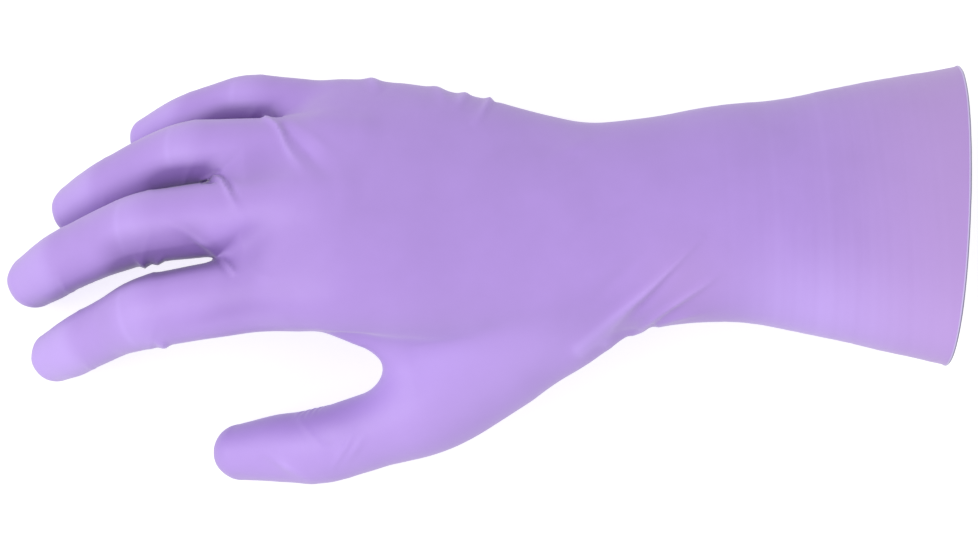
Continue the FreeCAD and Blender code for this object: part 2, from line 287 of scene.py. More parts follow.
def hand_form(P):
    q = hand_params(P[:, 0])
    y, z = P[:, 1] - q[:, 0], P[:, 2] - q[:, 1]
    an = np.radians(q[:, 5])
    # section axes turned about X from the hand's own side and back
    sy, sz = SIDE[1], SIDE[2]
    cy, sn = np.cos(an), np.sin(an)
    uy, uz = sy * cy - sz * sn, sy * sn + sz * cy
    by, bz = BACK[1] * cy - BACK[2] * sn, BACK[1] * sn + BACK[2] * cy
    u, v = y * uy + z * uz, y * by + z * bz
    a = q[:, 2]
    w = 0.5 + 0.5 * np.tanh(v / 3.0)
    b = q[:, 3] * w + q[:, 4] * (1 - w)
    n = q[:, 6]
    au, av = np.abs(u / a) + 1e-6, np.abs(v / b) + 1e-6
    k1 = (au ** n + av ** n) ** (1.0 / n)
    g = np.sqrt((au ** (n - 1) / a) ** 2 + (av ** (n - 1) / b) ** 2) * k1 ** (1 - n)
    return (k1 - 1.0) / g


FING = {
    # knuckle, web, middle joint, middle of the middle phalanx, tip joint, pad, tip
    "index": dict(line=[(-45.0, -2.6, 4.6), (-53.6, -3.9, 4.6), (-79.2, -6.9, -2.0), (-98.9, -9.6, -7.6), (-108.9, -12.2, -16.3),
                        (-118.6, -15.4, -25.0), (-124.5, -17.5, -31.7), (-130.0, -19.1, -37.8)],
                  wide=[9.0, 11.0, 10.9, 10.6, 9.1, 8.8, 8.6, 7.6], thick=[8.5, 10.4, 10.2, 9.9, 8.5, 8.3, 8.1, 7.6],
                  side=(0.09911, -0.97881, 0.17917)),
    "middle": dict(line=[(-42.0, 20.0, 7.0), (-50.8, 19.1, 6.2), (-79.5, 16.4, -0.8), (-100.0, 14.9, -5.8), (-113.0, 11.8, -15.2),
                         (-125.6, 8.1, -24.6), (-131.5, 5.9, -31.3), (-137.2, 3.8, -37.3)],
                   wide=[9.0, 11.0, 10.9, 10.5, 9.9, 9.3, 9.0, 8.0], thick=[8.5, 10.6, 10.3, 10.0, 9.2, 8.9, 8.7, 8.1],
                   side=(0.01211, -0.95587, 0.29353)),
    "ring": dict(line=[(-37.0, 36.0, 0.0), (-45.9, 36.1, -1.2), (-72.0, 36.6, -6.3), (-87.2, 37.2, -8.0), (-100.4, 34.0, -16.7),
                       (-113.3, 29.6, -25.3), (-119.0, 27.7, -31.6), (-124.6, 25.9, -37.5)],
                 wide=[8.6, 10.4, 10.2, 9.9, 9.5, 9.1, 8.9, 8.0], thick=[8.0, 10.0, 9.8, 9.5, 8.9, 8.7, 8.5, 7.9],
                 side=(0.02334, -0.93862, 0.34417)),
    "little": dict(line=[(-29.0, 47.8, -13.2), (-36.6, 49.3, -14.5), (-56.1, 52.6, -18.0), (-71.0, 54.6, -18.8), (-80.6, 53.6, -23.0),
                         (-90.0, 51.4, -27.3), (-96.5, 49.6, -33.2), (-102.8, 47.8, -38.4)],
                   wide=[7.8, 9.3, 9.1, 8.9, 8.2, 7.8, 7.6, 7.0], thick=[7.4, 9.0, 8.7, 8.4, 7.6, 7.4, 7.3, 6.9],
                   side=(-0.06205, -0.90628, 0.41811)),
}
CORNER = [0, 6, 8, 7.5, 6, 6.5, 4, 0]
THUMB = dict(line=[(27.0, -4.5, -12.5), (3.0, -23.5, -15.0), (-16.0, -37.0, -16.2), (-32.5, -42.3, -21.2), (-49.1, -47.1, -26.7),
                   (-61.8, -47.0, -32.2), (-74.3, -47.8, -37.6)],
             wide=[13.0, 15.0, 13.7, 11.4, 11.4, 10.2, 8.1], thick=[12.0, 14.2, 12.9, 11.0, 10.9, 9.9, 8.2],
             side=(0.39741, -0.45707, -0.79571))
THUMB_CORNER = [0, 12, 12, 6, 8, 4, 0]

TUBES = {n: Tube(n, f["line"], f["wide"], f["thick"], f["side"], CORNER, f["thick"][-1]) for n, f in FING.items()}
TUBES["thumb"] = Tube("thumb", THUMB["line"], THUMB["wide"], THUMB["thick"], THUMB["side"], THUMB_CORNER, THUMB["thick"][-1])

WEBS = [
    ((-48.0, 7.6, 3.0), (-71.0, 5.0, -2.0), 7.0, 5.2),
    ((-46.0, 27.8, 1.5), (-73.0, 26.6, -3.0), 7.0, 5.2),
    ((-38.0, 43.2, -7.5), (-55.8, 45.0, -11.0), 6.5, 5.0),
]


CROTCH = [(-79.0, 5.0), (-79.0, 27.0), (-61.0, 44.0)]


def core(P):
    d = hand_form(P)
    # the hand ends in front of the knuckles; beyond, only fingers and webs go on
    d = smax(d, -(P[:, 0] + 62.0 - 0.30 * (P[:, 1] - 20.0)), 9.0)
    for a, b, ra, rb in WEBS:
        d = smin(d, capsule(P, a, b, ra, rb), 5.0)
    # film drawn straight from the ball of the thumb to the wrist
    d = smin(d, capsule(P, (24.0, -19.0, -10.0), (43.5, -10.2, -10.5), 3.6, 3.6), 3.0)
    # ball of the thumb and the heel of the hand on the palm's side
    d = smin(d, blob(P, (10.0, -9.8, -17.0), (30.0, 15.4, 13.0), [unit((0.86, 0.5, 0.05)), unit((-0.5, 0.86, -0.1)), unit((-0.1, 0.06, 1.0))]), 10.0)
    d = smin(d, blob(P, (-4.0, 39.0, -16.0), (27.0, 12.6, 13.0), [(1, 0, 0), (0, 1, 0), (0, 0, 1)]), 12.0)
    return d


def fold(P):
    """The fold of skin between thumb and index."""
    a = slab(P, [(-27.0, -6.5, -4.5), (-20.0, -30.5, -14.5), (22.0, -12.0, -10.0)], 8.0)
    return smin(a, slab(P, [(-58.0, -6.2, 0.6), (-33.0, -9.0, -1.2), (-26.5, -19.5, -8.0)], 4.2), 5.0)


def field(P):
    """Signed distance to the film, and nothing else."""
    c = core(P)
    t = smin(c, fold(P), 10.0)
    t = smin(t, TUBES["thumb"](P), 9.0)
    parts = [TUBES[n](P) for n in ("index", "middle", "ring", "little")]
    d = parts[0]
    for i, (cx, cy) in enumerate(CROTCH):
        # neighbours run into one another behind the web, and stay apart in front of it
        k = 0.02 + 9.0 * np.clip((P[:, 0] - cx - 0.5 + 0.10 * (P[:, 1] - cy)) / 9.0, 0.0, 1.0)
        d = smin(d, parts[i + 1], k)
    return smin(t, d, 6.0)
# --- from the form to a mesh ------------------------------------------------------------
def sample_band(fn, lo, hi, h, coarse=4):
    """Distance values on a grid, worked out only near the surface."""
    n = np.ceil((hi - lo) / (h * coarse)).astype(int)
    H = h * coarse
    gx, gy, gz = (lo[k] + H * (np.arange(n[k]) + 0.5) for k in range(3))
    G = np.stack(np.meshgrid(gx, gy, gz, indexing="ij"), -1).reshape(-1, 3)
    D = fn(G).reshape(n)
    near = np.abs(D) < H * 1.35 + 1.0
    full = np.repeat(np.repeat(np.repeat(np.where(D < 0, -9.0, 9.0).astype(np.float32), coarse, 0), coarse, 1), coarse, 2)
    off = (np.arange(coarse) + 0.5) * h - H / 2
    O = np.stack(np.meshgrid(off, off, off, indexing="ij"), -1).reshape(-1, 3)
    ids = np.argwhere(near)
    C = np.stack([gx[ids[:, 0]], gy[ids[:, 1]], gz[ids[:, 2]]], 1)
    P = (C[:, None, :] + O[None]).reshape(-1, 3)
    V = np.empty(len(P), np.float32)
    for i in range(0, len(P), 400000):
        V[i:i + 400000] = fn(P[i:i + 400000])
    V = V.reshape(len(ids), coarse, coarse, coarse)
    blocks = full.reshape(n[0], coarse, n[1], coarse, n[2], coarse)
    blocks[ids[:, 0], :, ids[:, 1], :, ids[:, 2], :] = V
    full = blocks.reshape(n[0] * coarse, n[1] * coarse, n[2] * coarse)
    return full, lo + h / 2


def surface_nets(D, origin, h):
    S = D < 0
    nx, ny, nz = D.shape
    cnt = np.zeros((nx - 1, ny - 1, nz - 1), np.int8)
    for i in (0, 1):
        for j in (0, 1):
            for k in (0, 1):
                cnt += S[i:nx - 1 + i, j:ny - 1 + j, k:nz - 1 + k]
    act = (cnt > 0) & (cnt < 8)
    ids = np.argwhere(act)
    idx = np.full(act.shape, -1, np.int32)
    idx[act] = np.arange(len(ids))
    pos = np.zeros((len(ids), 3))
    num = np.zeros(len(ids))
    for ax in range(3):
        for p in (0, 1):
            for q in (0, 1):
                a = [0, 0, 0]
                o = [k for k in range(3) if k != ax]
                a[o[0]], a[o[1]] = p, q
                b = list(a)
                b[ax] = 1
                da = D[ids[:, 0] + a[0], ids[:, 1] + a[1], ids[:, 2] + a[2]]
                db = D[ids[:, 0] + b[0], ids[:, 1] + b[1], ids[:, 2] + b[2]]
                m = (da < 0) != (db < 0)
                t = da[m] / (da[m] - db[m])
                c = np.repeat(np.array(a, float)[None], m.sum(), 0)
                c[:, ax] += t
                pos[m] += c
                num[m] += 1
    pos /= num[:, None]
    V = origin + h * (ids + pos)
    F = []
    for ax in range(3):
        o = [k for k in range(3) if k != ax]
        sl0 = [slice(None)] * 3
        sl1 = [slice(None)] * 3
        sl0[ax], sl1[ax] = slice(0, -1), slice(1, None)
        a, b = S[tuple(sl0)], S[tuple(sl1)]
        e = np.argwhere(a != b)
        e = e[(e[:, o[0]] > 0) & (e[:, o[1]] > 0) & (e[:, o[0]] < D.shape[o[0]] - 1) & (e[:, o[1]] < D.shape[o[1]] - 1)]
        c = []
        for p, q in ((-1, -1), (0, -1), (0, 0), (-1, 0)):
            w = e.copy()
            w[:, o[0]] += p
            w[:, o[1]] += q
            c.append(idx[w[:, 0], w[:, 1], w[:, 2]])
        q = np.stack(c, 1)
        flip = S[e[:, 0], e[:, 1], e[:, 2]]
        if ax == 1:
            flip = ~flip
        q[~flip] = q[~flip][:, ::-1]
        F.append(q)
    F = np.concatenate(F)
    return V, F


def gradient(fn, P, e=0.15):
    g = np.stack([fn(P + d) - fn(P - d) for d in np.eye(3) * e], 1)
    return g / (np.linalg.norm(g, axis=1, keepdims=True) + 1e-12)


def to_surface(fn, V, steps=2):
    for _ in range(steps):
        g = np.stack([fn(V + d) - fn(V - d) for d in np.eye(3) * 0.15], 1) / 0.30
        d = fn(V)
        gg = np.maximum(np.sum(g * g, 1), 0.25)
        V = V - g * (np.clip(d, -0.6, 0.6) / gg)[:, None]
    return V


def neighbours(F, n):
    """Vertex adjacency as a sorted pair of arrays, for averaging."""
    e = np.concatenate([F[:, [0, 1]], F[:, [1, 2]], F[:, [2, 3]], F[:, [3, 0]]])
    e = np.concatenate([e, e[:, ::-1]])
    key = np.unique(e[:, 0].astype(np.int64) * n + e[:, 1])
    return (key // n).astype(np.int64), (key % n).astype(np.int64)


def average(V, nb, n):
    i, j = nb
    c = np.bincount(i, minlength=n)[:, None]
    s = np.stack([np.bincount(i, weights=V[j, k], minlength=n) for k in range(V.shape[1])], 1)
    return s / np.maximum(c, 1)


def vertex_normals(V, F):
    a, b, c, d = V[F[:, 0]], V[F[:, 1]], V[F[:, 2]], V[F[:, 3]]
    fn = np.cross(c - a, d - b)
    N = np.zeros_like(V)
    for k in range(4):
        for ax in range(3):
            N[:, ax] += np.bincount(F[:, k], weights=fn[:, ax], minlength=len(V))
    return N / (np.linalg.norm(N, axis=1, keepdims=True) + 1e-12)

# --- folds, creases and the slack of the film ---------------------------------------------
def plan(P):
    """Where a point falls on the plane through the skeleton's zero, seen along EYE, in mm."""
    right = P[:, 0]
    up = P[:, 1] * EYE[2] - P[:, 2] * EYE[1]
    toward = P[:, 1] * EYE[1] + P[:, 2] * EYE[2]
    k = 1.0 / (1.0 - toward / 659.7)
    return np.stack([right * k, up * k], 1)


def along(q, pts):
    """Distance of plan points from a polyline, signed to its left, and the share of it passed."""
    pts = np.asarray(pts, float)
    seg = np.diff(pts, axis=0)
    L = np.linalg.norm(seg, axis=1)
    acc = np.concatenate([[0], np.cumsum(L)])
    best = np.full(len(q), 1e9)
    side = np.zeros(len(q))
    t_out = np.zeros(len(q))
    for i in range(len(seg)):
        d = q - pts[i]
        t = np.clip(d @ seg[i] / (L[i] ** 2), 0, 1)
        r = d - t[:, None] * seg[i]
        dist = np.hypot(r[:, 0], r[:, 1])
        m = dist < best
        best = np.where(m, dist, best)
        cr = seg[i][0] * d[:, 1] - seg[i][1] * d[:, 0]
        side = np.where(m, np.sign(cr), side)
        t_out = np.where(m, (acc[i] + t * L[i]) / acc[-1], t_out)
    return best, side, t_out


def rounded(pts, n=3):
    """Chaikin's corner cutting, so that a fold runs in a curve."""
    p = np.asarray(pts, float)
    for _ in range(n):
        if len(p) < 3:
            return p
        a = p[:-1] * 0.75 + p[1:] * 0.25
        b = p[:-1] * 0.25 + p[1:] * 0.75
        m = np.empty((2 * len(a), 2))
        m[0::2], m[1::2] = a, b
        p = np.concatenate([p[:1], m, p[-1:]])
    return p


# Folds seen on the back: points in plan, height at the start, middle and end, width likewise.
BACK_FOLDS = [
    ([(-63.7, 44.6), (-60.8, 43.0), (-59.4, 40.8), (-58.3, 37.4), (-55.7, 32.9), (-51.7, 28.6)], (0.8, 1.0, 0.1), (0.9, 1.1, 1.8)),
    ([(-58.6, 42.6), (-56.3, 39.7), (-52.3, 35.1), (-47.7, 30.6), (-44.8, 27.1)], (-0.5, -0.75, -0.05), (1.2, 1.6, 2.4)),
    ([(-56.3, 44.0), (-51.1, 39.7), (-46.0, 35.1), (-40.8, 30.6)], (0.2, 0.45, 0.0), (1.3, 1.9, 3.0)),
    ([(-81.7, 27.1), (-79.4, 28.1), (-77.7, 28.0), (-76.0, 26.4), (-74.6, 23.8), (-72.8, 20.6), (-71.1, 18.0)], (0.5, 0.9, 0.1), (0.6, 0.8, 1.6)),
    ([(-77.4, 29.4), (-74.6, 27.1), (-72.8, 24.3), (-71.1, 20.6)], (-0.4, -0.65, -0.02), (0.8, 0.9, 1.4)),
    ([(-81.7, 26.6), (-79.4, 27.0), (-77.7, 26.7)], (-0.7, -1.1, -0.3), (0.5, 0.6, 0.6)),
    ([(-93.1, 16.0), (-89.1, 13.7), (-82.0, 9.8), (-77.7, 6.6), (-75.1, 3.4), (-73.1, 0.9)], (0.05, 0.95, 0.55), (2.4, 1.4, 0.9)),
    ([(-78.6, 4.9), (-76.6, 3.1), (-74.6, 0.6), (-73.1, -1.4)], (-0.35, -0.45, -0.02), (0.6, 0.9, 1.2)),
    ([(-91.1, 12.3), (-85.4, 9.1), (-80.8, 6.6)], (-0.2, -0.6, -0.2), (1.8, 1.8, 1.4)),
    ([(-69.4, 3.7), (-64.8, 0.0), (-59.7, -3.1)], (0.0, 0.2, 0.0), (1.2, 1.6, 2.0)),
    ([(26.0, -21.1), (33.1, -14.9), (38.2, -10.4), (45.1, -5.0), (51.4, 1.3), (56.3, 6.1), (60.8, 10.6)], (0.9, 1.15, 0.25), (2.8, 1.3, 1.0)),
    ([(33.4, -19.1), (38.0, -14.6), (42.1, -10.0), (49.0, -3.6), (54.0, 2.0)], (0.55, -0.75, -0.05), (2.2, 1.7, 1.3)),
    ([(41.4, -17.1), (46.6, -12.9), (50.0, -10.6), (56.3, -6.1), (61.7, -2.7), (66.0, 0.6)], (0.75, 0.95, 0.2), (1.2, 1.05, 1.2)),
    ([(46.0, -15.0), (50.6, -11.3), (56.3, -8.3), (60.8, -6.0)], (-0.3, -0.6, -0.05), (1.2, 1.4, 1.6)),
    ([(48.3, -14.3), (52.3, -12.7), (54.8, -12.0), (59.1, -11.1), (63.7, -10.6)], (0.6, 0.7, 0.0), (0.9, 1.0, 1.4)),
    ([(20.3, 5.4), (22.4, 7.7), (27.4, 14.0), (34.3, 19.0), (39.7, 20.9), (43.7, 23.7)], (-0.1, -0.55, -0.04), (3.0, 2.5, 2.4)),
    ([(16.3, 8.3), (20.3, 12.3), (26.0, 18.0), (32.9, 22.6)], (0.0, 0.35, 0.0), (3.3, 3.0, 3.0)),
    ([(16.0, 32.6), (20.3, 34.6), (25.1, 36.8), (30.9, 39.7)], (0.0, 0.42, 0.0), (1.8, 2.0, 2.3)),
    ([(19.1, 31.1), (24.6, 33.7), (30.9, 36.6)], (0.0, -0.3, 0.0), (2.0, 2.2, 2.4)),
    ([(28.9, -8.9), (32.6, -4.9), (38.2, 0.0), (44.0, 5.9), (48.3, 11.1)], (-0.04, -0.45, 0.0), (2.2, 2.1, 2.0)),
    ([(24.6, -7.1), (29.4, -1.7), (35.1, 3.7), (40.8, 9.1)], (0.0, 0.36, 0.0), (2.6, 2.6, 2.5)),
    ([(-35.7, 58.0), (-33.4, 55.7), (-30.3, 52.3)], (1.1, 0.8, 0.0), (1.4, 1.5, 2.2)),
    ([(-16.3, 55.1), (-14.0, 52.3), (-11.1, 48.3)], (0.9, 0.6, 0.0), (1.4, 1.5, 2.2)),
    ([(-5.4, 54.0), (-7.1, 51.1), (-10.6, 47.1)], (1.0, 0.7, 0.0), (1.3, 1.4, 2.2)),
    ([(1.4, 52.3), (-0.3, 48.8), (-3.1, 44.8), (-5.4, 42.6)], (1.2, 0.7, 0.0), (1.1, 1.2, 2.2)),
    ([(2.6, 51.7), (0.3, 47.7), (-2.6, 43.7)], (-0.45, -0.35, 0.0), (0.9, 1.3, 2.0)),
    ([(-64.8, -50.8), (-61.1, -52.6), (-56.8, -55.1), (-53.4, -57.1), (-50.6, -58.6)], (0.1, 0.75, 0.25), (1.2, 1.4, 1.6)),
    ([(-47.7, -42.6), (-46.0, -46.0), (-45.4, -50.0), (-46.0, -54.0)], (0.0, -0.45, 0.0), (2.6, 2.8, 3.0)),
    ([(-44.6, -55.1), (-41.7, -50.6), (-39.1, -46.0), (-38.0, -43.1)], (0.1, 0.55, 0.0), (1.0, 1.1, 1.4)),
    ([(-41.1, -54.0), (-37.4, -48.8), (-34.6, -44.8)], (0.1, 0.45, 0.0), (1.0, 1.1, 1.4)),
    ([(-69.4, -50.6), (-64.8, -53.4), (-59.7, -56.3)], (0.0, -0.38, 0.0), (1.8, 2.0, 2.0)),
    ([(-47.7, -18.0), (-44.3, -18.6), (-40.8, -19.7), (-37.4, -20.3)], (0.25, 0.5, 0.1), (0.8, 0.9, 1.0)),
]

# Folds of the palm: points are X, Y.
PALM_FOLDS = [
    ([(-52, 2), (-56, 16), (-54, 32), (-46, 44)], (-0.5, -0.8, -0.4), (2.2, 2.4, 2.2)),
    ([(-47, 0), (-51, 16), (-49, 33), (-41, 45)], (0.3, 0.5, 0.3), (1.4, 1.6, 1.4)),
    ([(-36, -12), (-38, 6), (-32, 24), (-20, 40)], (-0.5, -0.9, -0.3), (2.4, 2.8, 2.4)),
    ([(-31, -12), (-33, 6), (-27, 23), (-15, 38)], (0.3, 0.45, 0.2), (1.5, 1.7, 1.6)),
    ([(-32, -16), (-22, -2), (-4, 8), (18, 14), (34, 16)], (-0.4, -1.0, -0.4), (2.4, 3.0, 2.8)),
    ([(-26, -22), (-14, -10), (4, -2), (22, 4)], (0.2, 0.45, 0.1), (1.8, 2.2, 2.0)),
    ([(-24, 2), (-8, 14), (10, 20), (28, 22)], (0.2, 0.5, 0.1), (1.8, 2.2, 2.0)),
    ([(36, -6), (38, 10), (37, 28), (34, 42)], (-0.3, -0.6, -0.3), (1.8, 2.0, 1.8)),
    ([(42, -8), (44, 10), (43, 28), (40, 44)], (0.2, 0.45, 0.2), (1.6, 1.8, 1.6)),
    ([(48, -6), (51, 8), (50, 28), (47, 42)], (-0.2, -0.4, -0.2), (1.6, 1.8, 1.6)),
    ([(30, -10), (44, 2), (56, 16), (64, 32)], (0.0, 0.4, 0.0), (1.8, 2.2, 2.0)),
    ([(28, 44), (42, 34), (54, 20), (66, 4)], (0.0, 0.35, 0.0), (1.8, 2.2, 2.0)),
    ([(-62, 6), (-64, 14), (-62, 24)], (0.1, 0.3, 0.1), (1.2, 1.4, 1.2)),
    ([(-60, 34), (-56, 42), (-48, 48)], (0.1, 0.3, 0.1), (1.2, 1.4, 1.2)),
    ([(0, 44), (12, 34), (24, 28)], (0.0, 0.35, 0.0), (2.0, 2.2, 2.0)),
]

EDGE_FOLDS = [
    ([(-100.8, 5.1), (-98.3, 2.9), (-96.3, 2.0)], (0.2, 0.9, 0.7), (0.9, 1.0, 1.0)),
    ([(-93.1, 5.1), (-94.8, 3.4), (-96.0, 1.4)], (0.2, 0.9, 0.5), (0.9, 1.0, 1.0)),
    ([(-95.4, -18.9), (-93.1, -20.0), (-91.4, -21.1)], (0.2, 0.8, 0.7), (0.8, 0.9, 0.9)),
]



def fold_height(q, fold):
    pts, (h0, h1, h2), (w0, w1, w2) = fold
    p = rounded(pts)
    wmax = max(w0, w1, w2) * 3.2
    lo, hi = p.min(0) - wmax, p.max(0) + wmax
    m = np.all((q > lo) & (q < hi), axis=1)
    out = np.zeros(len(q))
    if not m.any():
        return out
    d, s, t = along(q[m], p)
    h = np.interp(t, [0, 0.5, 1], [h0, h1, h2])
    w = np.interp(t, [0, 0.5, 1], [w0, w1, w2])
    out[m] = h * np.exp(-(d / w) ** 2)
    return out


def waves(P, seed, count, size, flat=(1.0, 1.0, 1.0)):
    """Smooth wandering heights of about +-1, from a few plane waves."""
    rng = np.random.default_rng(seed)
    out = np.zeros(len(P))
    for _ in range(count):
        k = rng.normal(size=3)
        k = k / np.linalg.norm(k) * (2 * math.pi / size) * rng.uniform(0.7, 1.4) * np.array(flat)
        out += np.sin(P @ k + rng.uniform(0, 2 * math.pi))
    return out / math.sqrt(count)


def smoothstep(x, a, b):
    t = np.clip((x - a) / (b - a), 0, 1)
    return t * t * (3 - 2 * t)


def bell(x, c, w):
    return np.exp(-((x - c) / w) ** 2)


def relief(P, up, which, loc):
    """Height of the film's folds over the plain form, in mm.
    up: how far the plain surface faces the back; which: 0..4 for a point of a finger or the
    thumb beyond its web, else -1; loc: that finger's own length, side and back coordinates."""
    q = plan(P)
    dorsal = smoothstep(up, -0.12, 0.10)
    palmar = smoothstep(-up, 0.05, 0.45)
    r = np.zeros(len(P))
    for f in BACK_FOLDS:
        r += fold_height(q, f) * dorsal
    for f in PALM_FOLDS:
        r += fold_height(P[:, :2], f) * palmar
    for f in EDGE_FOLDS:
        r += fold_height(q, f)
    x = P[:, 0]
    body = (which < 0)
    # slack: long soft waves, a little stronger on the palm and towards the open end
    r += 0.16 * waves(P, 5, 7, 34.0) * (0.45 + 0.75 * palmar)
    r += 0.05 * waves(P, 9, 7, 11.0) * (0.5 + 0.8 * palmar)
    cuff = smoothstep(x, 44, 70)
    r += cuff * 0.10 * waves(P * np.array([1.0, 0.25, 0.25]), 21, 6, 17.0)
    r += cuff * 0.30 * smoothstep(x, 80, 135) * waves(P * np.array([0.25, 1.0, 1.0]), 33, 5, 46.0)
    # bands left by dipping, round the cuff
    for c, w, h in ((67.5, 0.9, -0.05), (76.0, 1.5, 0.06), (88.5, 1.0, -0.05), (97.0, 1.8, 0.07),
                    (104.5, 0.8, -0.045), (112.0, 1.4, 0.06), (119.5, 0.8, -0.05), (126.5, 1.2, 0.06)):
        r += h * bell(x + 0.6 * np.sin(P[:, 1] / 17.0 + c), c, w)
    # knuckles and palm creases of each finger
    s, u, v = loc
    for i, name in enumerate(NAMES):
        m = which == i
        if not m.any():
            continue
        tb = TUBES[name]
        sj = [tb.S[np.argmin(np.abs(tb.par - k))] for k in JOINT_KEYS[name]]
        sm, um, vm = s[m], u[m], v[m]
        b = np.interp(sm, tb.S, tb.b)
        a = np.interp(sm, tb.S, tb.a)
        turn = vm / (b + 1e-6)
        pal = smoothstep(-turn, 0.10, 0.75)
        dor = smoothstep(turn, 0.15, 0.80)
        rr = np.zeros(m.sum())
        for k, sk in enumerate(sj):
            big = 1.0 if k == 0 else 0.75
            lean = 0.20 * um + 0.5 * np.sin(um / 2.6 + i)
            # film bunched in the bend: ridges across the finger's inside, fading up its sides
            for off, hh, ww in ((-4.6, 0.22, 0.9), (-2.3, 0.42, 0.9), (0.0, 0.55, 1.0), (2.3, 0.42, 0.9), (4.8, 0.20, 0.9)):
                rr += big * hh * pal * bell(sm + 0.25 * lean * (1 + 0.3 * k), sk + off, ww)
            rr -= big * 0.35 * pal * bell(sm, sk, 4.5)
            # two fine folds that run up the sides
            rr += 0.16 * big * smoothstep(np.abs(um) / a, 0.45, 0.9) * bell(sm + 0.7 * vm, sk + 1.0, 1.1)
            # the knuckle under the film
            rr += big * 0.22 * dor * bell(sm, sk, 4.2) * bell(um, 0, 0.75 * a)
            rr -= big * 0.10 * dor * bell(sm, sk - 7.5, 3.5)
        # the pad and the slack over the tip
        send = tb.S[-1]
        rr += 0.10 * np.sin(um * 0.9 + i) * bell(sm, send - 1.0, 3.5) * dor
        r[m] += rr
    return r


NAMES = ["index", "middle", "ring", "little", "thumb"]
JOINT_KEYS = {"index": (3, 5), "middle": (3, 5), "ring": (3, 5), "little": (3, 5), "thumb": (4,)}


# --- the skin as one mesh -----------------------------------------------------------------
def build_skin():
    lo, hi = np.array([-152.0, -64.0, -52.0]), np.array([145.0, 70.0, 26.0])
    D, o = sample_band(field, lo, hi, GRID)
    V, F = surface_nets(D, o, GRID)
    # the part of the grid's own walls is dropped beyond the cuff's end
    keep = V[F].mean(1)
    F = F[(keep[:, 0] < 144.0)]
    return V, F


def compact(V, F, *more):
    used = np.zeros(len(V), bool)
    used[F.ravel()] = True
    idx = np.cumsum(used) - 1
    return (V[used], idx[F]) + tuple(m[used] for m in more)


KN_AXIS = unit(np.array([-17.0, -53.2, 19.3]))
_kd = np.array([-0.96, -0.10, -0.25])
KN_DIR = unit(_kd - KN_AXIS * (_kd @ KN_AXIS))
BONES = {
    "index": ((-79.2, -6.9, -2.0), (-98.9, -9.6, -7.6), (-118.6, -15.4, -25.0), (-129.8, -19.0, -37.8)),
    "middle": ((-79.5, 16.4, -0.8), (-100.0, 14.9, -5.8), (-125.6, 8.1, -24.6), (-137.0, 3.8, -37.3)),
    "ring": ((-72.0, 36.6, -6.3), (-87.2, 37.2, -8.0), (-113.3, 29.6, -25.3), (-124.6, 25.9, -37.5)),
    "little": ((-56.1, 52.6, -18.0), (-71.0, 54.6, -18.8), (-90.0, 51.4, -27.3), (-102.4, 48.4, -38.4)),
}
NEAR = {"index": (8.0, 8.0), "middle": (8.0, 8.0), "ring": (5.5, 10.0), "little": (7.0, 8.0)}
TIPZ = 6.5
BISECT = {}
for _n, (_w, _p1, _p2, _t) in BONES.items():
    _w, _p1, _p2, _t = (np.array(_q) for _q in (_w, _p1, _p2, _t))
    _d0, _d1, _d2 = unit(_p1 - _w), unit(_p2 - _p1), unit(_t - _p2)
    BISECT[_n] = (_p1, unit(_d0 + _d1), _p2, unit(_d1 + _d2))
TH = np.array([-26.0, -40.0, -19.4])
TH_DIR = unit(np.array([-0.78, -0.58, -0.23]))
TJ = np.array([-49.1, -47.1, -26.7])
TJ_DIR = unit(unit(TJ - np.array([-16.0, -36.8, -16.2])) + unit(np.array([-73.8, -47.2, -37.6]) - TJ))
RIM_P = np.array([136.1, 20.0, -17.9])
RIM_N = unit(np.array([1.0, -0.105, -0.02]))

PIECES = ["hand_film", "knuckle_film"] + [n + "_film" for n in NAMES[:4]] + [n + "_tip_film" for n in NAMES[:4]] + \
         ["thumb_film", "thumb_tip_film", "cuff_film"]


def nearest_finger(P):
    """Index of the nearest finger or thumb, its distance from the axis, and its own coordinates."""
    n = len(P)
    best = np.full(n, 1e9)
    who = np.full(n, -1)
    S, U, Vv = np.zeros(n), np.zeros(n), np.zeros(n)
    for i, name in enumerate(NAMES):
        s, u, v, w, a, b = TUBES[name].local(P)
        d = np.sqrt((u / a) ** 2 + (v / b) ** 2 + (np.clip(w, 0, None) / b) ** 2)
        m = d < best
        best = np.where(m, d, best)
        who = np.where(m, i, who)
        S, U, Vv = np.where(m, s, S), np.where(m, u, U), np.where(m, v, Vv)
    return who, best, S, U, Vv


CUTS = []       # a list meant for the planes that part two pieces; nothing is put in it


def side_of(P):
    """The piece each point belongs to."""
    who, d, s, u, v = nearest_finger(P)
    c = np.zeros(len(P), int)
    kn = (P - KN_C) @ KN_DIR
    c[kn > -13.2] = 1
    for i, n in enumerate(NAMES[:4]):
        p1, b1, p2, b2 = BISECT[n]
        q1, q2 = (P - p1) @ b1, (P - p2) @ b2
        c[(who == i) & (q1 > -(NEAR[n][0] + 1.3)) & (kn > 10)] = 2 + i
        c[(who == i) & (q2 > -(TIPZ + 1.3)) & (q1 > 0)] = 6 + i
    tb = TUBES["thumb"]
    ax = tb.c[tb.nearest(P)]
    far = np.linalg.norm(P - ax, axis=1)
    q = (P - TH) @ TH_DIR
    thumb = (q > -6.2) & (far < 17.5) & (P[:, 1] < -20) & (who == 4)
    c[thumb] = 10
    c[thumb & ((P - TJ) @ TJ_DIR > -8.3)] = 11
    c[P[:, 0] > 36.5] = 12
    return c


